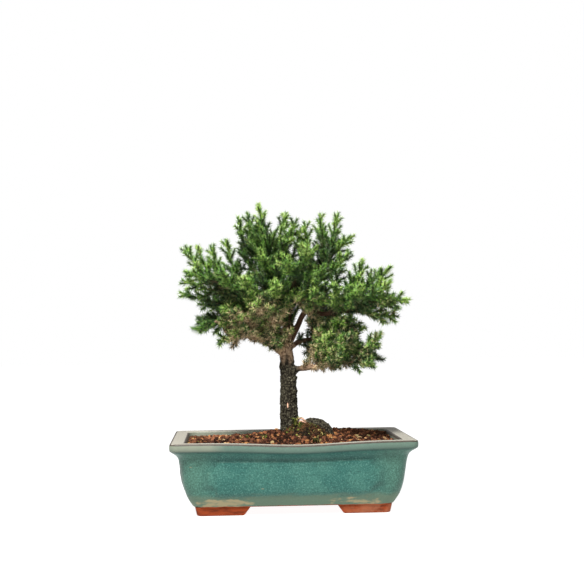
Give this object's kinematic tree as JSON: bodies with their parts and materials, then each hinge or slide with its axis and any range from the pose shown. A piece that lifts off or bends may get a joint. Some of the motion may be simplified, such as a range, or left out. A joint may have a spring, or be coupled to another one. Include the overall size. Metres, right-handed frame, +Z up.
{
  "type": "japanese cedar bonsai",
  "caption": "Small awl-needled conifer with a dark trunk and a spreading crown, growing in soil in a glazed rectangular ceramic pot on low clay feet.",
  "frame": {"origin": "on the surface that the pot stands on, under the middle of the pot", "axes": "+Z up along the trunk, +X along the pot's length to the viewer's right, +Y away from the viewer"},
  "size_m": [0.25, 0.1802, 0.3242],
  "materials": {
    "glaze": "glossy speckled blue-green glaze, bare red clay on the feet",
    "soil": "dry red-brown baked-clay granules",
    "moss": "matt moss and dark earth",
    "bark": "rough dark bark, red-brown on the limbs",
    "needles": "satin green needles, yellow-green at the tips",
    "screen": "dark green moulded mesh"
  },
  "bodies": {
    "root": {"pot": "glaze", "drain_screen_left": "screen", "drain_screen_right": "screen", "soil": "soil", "moss": "moss", "tree_wood": "bark", "spray_01_trunk": "needles", "spray_02_trunk": "needles", "spray_03_trunk": "needles", "spray_04_trunk": "needles", "spray_05_trunk": "needles", "spray_06_trunk": "needles", "spray_07_trunk": "needles", "spray_08_top_right": "needles", "spray_09_top_right": "needles", "spray_10_top_right": "needles", "spray_11_top_right": "needles", "spray_12_top_right": "needles", "spray_13_high_right": "needles", "spray_14_high_right": "needles", "spray_15_high_right": "needles", "spray_16_high_right": "needles", "spray_17_high_right": "needles", "spray_18_high_right": "needles", "spray_19_high_right": "needles", "spray_20_high_right": "needles", "spray_21_high_right": "needles", "spray_22_high_right": "needles", "spray_23_back_right": "needles", "spray_24_back_right": "needles", "spray_25_low_right": "needles", "spray_26_low_right": "needles", "spray_27_low_right": "needles", "spray_28_low_right": "needles", "spray_29_low_right": "needles", "spray_30_low_right": "needles", "spray_31_front": "needles", "spray_32_front": "needles", "spray_33_front": "needles", "spray_34_back": "needles", "spray_35_back": "needles", "spray_36_back": "needles", "spray_37_back_left": "needles", "spray_38_back_left": "needles", "spray_39_back_left": "needles", "spray_40_back_left": "needles", "spray_41_back_left": "needles", "spray_42_back_left": "needles", "spray_43_front_left": "needles", "spray_44_front_left": "needles", "spray_45_front_left": "needles", "spray_46_front_left": "needles", "spray_47_front_left": "needles", "spray_48_front_left": "needles", "spray_49_front_left": "needles", "spray_50_front_left": "needles", "spray_51_low_left": "needles", "spray_52_low_left": "needles", "spray_53_low_left": "needles", "spray_54_low_left": "needles"}
  },
  "joints": []
}
